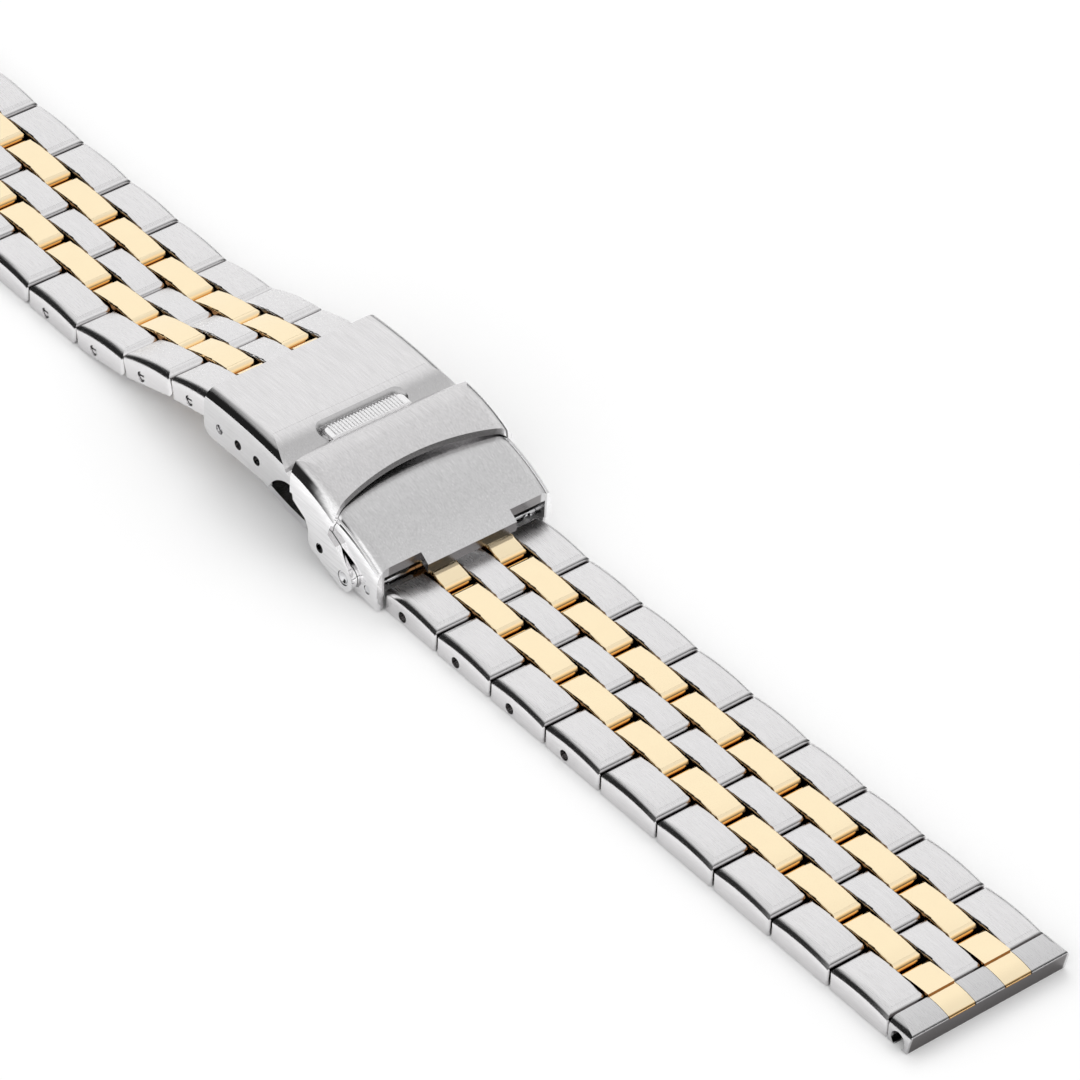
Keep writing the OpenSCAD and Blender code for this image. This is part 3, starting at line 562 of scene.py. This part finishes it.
@dataclass
class Finishes:
    """The bracelet's finishes. Each material is made once and shared."""

    link_steel: Metal = StrapSteel(name="link_steel", tone=(0.78, 0.77, 0.775))
    # Painted shade: the end link's steel is a darker copy of the links' steel, for the dimmer light
    # that it reflects
    end_steel_painted_shade: Metal = StrapSteel(name="end_steel_painted_shade", tone=(0.64, 0.635, 0.64), relief=0.4)
    cover_steel: Metal = ClaspSteel(
        name="cover_steel",
        tone=(0.76, 0.75, 0.755),
        streak_shade=0.2,
        # Painted shade: the cover's sloping tops, such as the dip at the flap, darker than its
        # level roof
        painted_slope_shade=0.72,
        # Painted shade on the cover's steep faces in the gaps
        gap_painted_shade=(0.3, 0.29, 0.29),
    )
    flap_steel: Metal = FlapSteel(name="flap_steel", tone=(0.685, 0.675, 0.68))
    end_piece_steel: Metal = ClaspSteel(
        # Painted shade on the end piece's steep faces in the gaps, such as its front face
        name="end_piece_steel", tone=(0.63, 0.625, 0.63), gap_painted_shade=(0.28, 0.27, 0.27)
    )
    gold: Metal = Metal(
        name="gold",
        tone=(1.0, 0.84, 0.575),
        top_roughness=0.12,
        side_roughness=0.12,
        streak_shade=0.01,
        grain_relief=0.02,
        # Painted shade: the faces that don't look up in a darker, deeper orange
        painted_side_tone=(1.0, 0.66, 0.3),
        # Painted shade: dark orange on the steep faces in the gaps between the gold links
        gap_painted_shade=(0.3, 0.13, 0.03),
    )
    bright_steel: Metal = Metal(
        name="bright_steel",
        tone=(0.8, 0.8, 0.81),
        top_roughness=0.16,
        side_roughness=0.14,
        relief=0.05,
        side_relief=0.1,
    )
    made: dict[str, bpy.types.Material] = field(default_factory=dict)

    def of(self, metal: Metal) -> bpy.types.Material:
        """The material of a finish, made on its first use."""
        if metal.name not in self.made:
            self.made[metal.name] = metal.material()
        return self.made[metal.name]

    def dress(self, nodes: Nodes, names: Iterable[str], metal: Metal) -> None:
        """Gives some of the frame's pieces one finish all over.

        Args:
            nodes: The frame's pieces by name.
            names: The names of the pieces to dress.
            metal: The finish.
        """
        for name in names:
            slots = nodes[name].data.materials
            slots.clear()
            slots.append(self.of(metal))
            LOG.info("%s: %s", name, metal.name)


@dataclass
class Strap:
    """One strap: steel rows, gold-coloured rows between them, short links and an end link."""

    side: Side
    finishes: Finishes
    rows: int = 9

    def steel_nodes(self) -> list[str]:
        """The names of the strap's steel rows."""
        return [f"steel_links_{self.side.value}_{row}" for row in range(1, self.rows + 1)]

    def gold_nodes(self) -> list[str]:
        """The names of the strap's gold-coloured pieces."""
        rows = [f"gold_links_{self.side.value}_{row}" for row in range(1, self.rows)]
        return rows + [f"short_gold_links_{self.side.value}", f"end_lugs_{self.side.value}"]

    def dress(self, nodes: Nodes) -> None:
        """Gives the strap's pieces their finishes.

        Args:
            nodes: The frame's pieces by name.
        """
        finishes = self.finishes
        finishes.dress(nodes, self.steel_nodes(), finishes.link_steel)
        finishes.dress(nodes, [f"end_link_{self.side.value}"], finishes.end_steel_painted_shade)
        finishes.dress(nodes, self.gold_nodes(), finishes.gold)


@dataclass
class Clasp:
    """The clasp's cover, safety flap, end piece, blades, hinge pins and spring bars."""

    finishes: Finishes

    def inner_nodes(self) -> list[str]:
        """The names of the clasp's blades, pins, rivets and spring bars."""
        names = ["flap_rivets", "lower_blade", "middle_blade", "blade_hinge_pin", "cover_hinge_pin"]
        for side in Side:
            for piece in ("spring_bar_tube", "spring_bar_coil", "near_plunger", "far_plunger"):
                names.append(f"{piece}_{side.value}")
        return names

    def dress(self, nodes: Nodes) -> None:
        """Gives the clasp's pieces their finishes.

        Args:
            nodes: The frame's pieces by name.
        """
        finishes = self.finishes
        finishes.dress(nodes, ["clasp_cover"], finishes.cover_steel)
        finishes.dress(nodes, ["safety_flap"], finishes.flap_steel)
        finishes.dress(nodes, ["end_piece"], finishes.end_piece_steel)
        finishes.dress(nodes, self.inner_nodes(), finishes.bright_steel)


class Place:
    """The direction of a point of the surround, as a rise and as turns from chosen angles."""

    def __init__(self, graph: Graph) -> None:
        """Reads the point's coordinates.

        Args:
            graph: The surround's graph.
        """
        where = graph.out(graph.node("ShaderNodeTexCoord"), "Object")
        self.x, self.y, z = graph.parts(where)
        level = (self.x * self.x + self.y * self.y) ** 0.5
        self.rise = z.turn(level)

    def turn_from(self, middle: float) -> Wire:
        """The size of the turn from an angle, in degrees.

        Args:
            middle: The angle, in degrees from +X.

        Returns:
            The turn, from 0 to 180.
        """
        c, s = math.cos(math.radians(middle)), math.sin(math.radians(middle))
        ahead = self.x * c + self.y * s
        aside = self.y * c - self.x * s
        return abs(aside.turn(ahead))


@dataclass(frozen=True)
class Card:
    """A soft-edged grey patch of the surround, with all angles in degrees.

    Attributes:
        middle: Angle of its middle, counted from +X.
        half: Half its width.
        side_fade: Half the width of its side edges' blur.
        low: Rise of its lower edge above the horizon.
        high: Rise of its upper edge.
        low_fade: Half the width of the lower edge's blur.
        high_fade: Half the width of the upper edge's blur.
        level: How bright it leaves the surround.
    """

    middle: float
    half: float
    side_fade: float
    low: float
    high: float
    low_fade: float
    high_fade: float
    level: float

    def shade(self, place: Place) -> Wire:
        """How bright the patch leaves the surround.

        Args:
            place: The direction that is looked at.

        Returns:
            1 outside the patch and its level inside it.
        """
        turn = place.turn_from(self.middle)
        beside = turn.step(self.half - self.side_fade, self.half + self.side_fade)
        above = place.rise.step(self.high - self.high_fade, self.high + self.high_fade)
        below = place.rise.step(self.low - self.low_fade, self.low + self.low_fade)
        cover = (1 - beside) * (1 - above) * below
        return 1 - cover * (1 - self.level)


# What the metal reflects: dark cards left and right of the camera, lower ones beyond the
# bracelet and along the right horizon, and a pale grey ceiling
CARDS = (
    Card(
        middle=218, half=38, side_fade=10, low=-20, high=48, low_fade=1, high_fade=9, level=0.02
    ),
    Card(
        middle=36, half=44, side_fade=20, low=-20, high=31, low_fade=1, high_fade=17, level=0.1
    ),
    Card(
        middle=106, half=26, side_fade=8, low=-20, high=13, low_fade=1, high_fade=3, level=0.05
    ),
    Card(middle=40, half=96, side_fade=6, low=-20, high=5, low_fade=1, high_fade=3, level=0.05),
    Card(middle=0, half=200, side_fade=5, low=55, high=120, low_fade=6, high_fade=5, level=0.84),
)


@dataclass
class Studio:
    """Floor, light, the surround that the metal reflects, and camera.

    Lengths are in metres where the name doesn't say millimetres. The camera's values
    come from a fit to the corners of the links in the photograph.

    Attributes:
        floor_half: Half the floor's side.
        floor_cells: Cells along the floor's side.
        floor_colour: The floor's colour.
        fill: Strength of the world's light on the object.
        key_watts: Power of the key lamp.
        key_place: Its place.
        key_size: Its side.
        surround_radius: Radius of the surround.
        surround_cells: Cells round the surround and from pole to pole.
        surround_margin: Share of its radius that it may reach below the floor.
        cards: The surround's cards.
        turn_deg: Turn of the camera about the bracelet, from -Y towards +X.
        rise_deg: Its rise above the floor.
        roll_deg: Its roll.
        distance: Its distance from the point that it was fitted about.
        aim_offset: How far right of and above the picture's middle that point lies.
        aim_x: That point's X.
        lens_mm: Focal length.
        sensor_mm: Width of the sensor.
        clip: Nearest and furthest distance that the camera sees.
    """

    floor_half: float = 3.0
    floor_cells: int = 8
    floor_colour: Colour = (0.98, 0.98, 0.98)
    fill: float = 0.93
    key_watts: float = 6.0
    key_place: tuple[float, float, float] = (-0.7, 0.55, 1.15)
    key_size: float = 0.9
    surround_radius: float = 1.6
    surround_cells: tuple[int, int] = (64, 32)
    surround_margin: float = 0.01
    cards: tuple[Card, ...] = CARDS
    turn_deg: float = 49.092
    rise_deg: float = 39.840
    roll_deg: float = 3.109
    distance: float = 688.561 * MM
    aim_offset: tuple[float, float] = (-2.62293 * MM, -7.41362 * MM)
    aim_x: float = 21.724 * MM
    lens_mm: float = 230.367
    sensor_mm: float = 36.0
    clip: Span = (0.01, 20.0)

    def build(self) -> None:
        """Sets up the whole studio."""
        self._floor()
        self._surround()
        self._key()
        self._world()
        self._camera()

    @staticmethod
    def _hide_from(thing: bpy.types.Object, rays: Iterable[Rays]) -> None:
        """Leaves an object out of some kinds of ray."""
        for kind in rays:
            setattr(thing, kind.value, False)

    @staticmethod
    def _stand(
        name: str, shape: bmesh.types.BMesh, material: bpy.types.Material
    ) -> bpy.types.Object:
        """Turns a shape into a piece of the stage.

        Args:
            name: The piece's name.
            shape: Its shape, which is freed.
            material: Its material.

        Returns:
            The piece.
        """
        mesh = bpy.data.meshes.new(name)
        shape.to_mesh(mesh)
        shape.free()
        mesh.materials.append(material)
        made = bpy.data.objects.new(name, mesh)
        bpy.context.scene.collection.objects.link(made)
        return made

    def _floor(self) -> None:
        """A wide pale floor at the bracelet's foot."""
        material, graph = new_material("floor_white")
        colour = (*self.floor_colour, 1.0)
        graph.show(graph.node("ShaderNodeBsdfDiffuse", None, {"Color": colour, "Roughness": 1.0}))
        cells = self.floor_cells
        shape = bmesh.new()
        bmesh.ops.create_grid(shape, x_segments=cells, y_segments=cells, size=self.floor_half)
        self._stand("floor", shape, material)

    def _surround(self) -> None:
        """A dome that only reflections see: white with soft grey and dark cards."""
        around, upward = self.surround_cells
        shape = bmesh.new()
        bmesh.ops.create_uvsphere(
            shape, u_segments=around, v_segments=upward, radius=self.surround_radius
        )
        bottom = -self.surround_margin * self.surround_radius
        low = [v for v in shape.verts if v.co.z < bottom]
        bmesh.ops.delete(shape, geom=low, context="VERTS")
        dome = self._stand("surround", shape, self._card_material())
        self._hide_from(dome, (Rays.CAMERA, Rays.DIFFUSE, Rays.TRANSMISSION, Rays.SHADOW))

    def _card_material(self) -> bpy.types.Material:
        """The surround's own light.

        Returns:
            The material.
        """
        made, graph = new_material("surround_cards")
        place = Place(graph)
        level = 1.0
        for card in self.cards:
            level = card.shade(place) * level
        colour = graph.mix(level, BLACK, WHITE)
        graph.show(graph.node("ShaderNodeEmission", None, {"Color": colour, "Strength": 1.0}))
        return made

    def _key(self) -> None:
        """A large soft lamp above and behind the bracelet, which reflections don't see."""
        data = bpy.data.lights.new("key", "AREA")
        data.shape = "SQUARE"
        data.size = self.key_size
        data.energy = self.key_watts
        lamp = bpy.data.objects.new("key", data)
        lamp.location = self.key_place
        lamp.rotation_euler = (-Vector(self.key_place)).to_track_quat("-Z", "Y").to_euler()
        bpy.context.scene.collection.objects.link(lamp)
        self._hide_from(lamp, (Rays.CAMERA, Rays.GLOSSY))

    def _world(self) -> None:
        """White to the camera, reflections and glass, and a soft even light otherwise."""
        world = bpy.data.worlds.new("studio")
        bpy.context.scene.world = world
        world.use_nodes = True
        graph = Graph(world.node_tree)
        path = graph.node("ShaderNodeLightPath")
        seen = graph.out(path, "Is Camera Ray")
        for kind in ("Is Glossy Ray", "Is Transmission Ray"):
            seen = seen.over(graph.out(path, kind))
        strength = seen + (1 - seen) * self.fill
        colour = (*WHITE, 1.0)
        light = graph.node("ShaderNodeBackground", None, {"Color": colour, "Strength": strength})
        graph.show(light, "ShaderNodeOutputWorld")

    def _camera(self) -> None:
        """The camera at the photograph's angle and distance."""
        turn, rise, roll = (math.radians(a) for a in (self.turn_deg, self.rise_deg, self.roll_deg))
        back = Vector(
            (math.sin(turn) * math.cos(rise), -math.cos(turn) * math.cos(rise), math.sin(rise))
        )
        level = Vector((0, 0, 1)).cross(back).normalized()
        over = back.cross(level)
        right = level * math.cos(roll) + over * math.sin(roll)
        up = over * math.cos(roll) - level * math.sin(roll)
        place = back * self.distance - right * self.aim_offset[0] - up * self.aim_offset[1]
        place.x += self.aim_x
        data = bpy.data.cameras.new("photo_camera")
        data.sensor_width = self.sensor_mm
        data.lens = self.lens_mm
        data.clip_start, data.clip_end = self.clip
        camera = bpy.data.objects.new("photo_camera", data)
        axes = Matrix((right, up, back)).transposed().to_4x4()
        camera.matrix_world = Matrix.Translation(place) @ axes
        bpy.context.scene.collection.objects.link(camera)
        bpy.context.scene.camera = camera
        bpy.context.scene.view_settings.view_transform = "Standard"


def main() -> None:
    """Loads the frame, dresses the bracelet and sets the studio."""
    logging.basicConfig(level=logging.INFO, format="%(name)s: %(message)s")
    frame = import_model()
    nodes = frame["nodes"]
    finishes = Finishes()
    for side in Side:
        Strap(side, finishes).dress(nodes)
    Clasp(finishes).dress(nodes)
    Studio().build()
    LOG.info("pieces: %d", len(nodes))


if __name__ == "__main__":
    main()
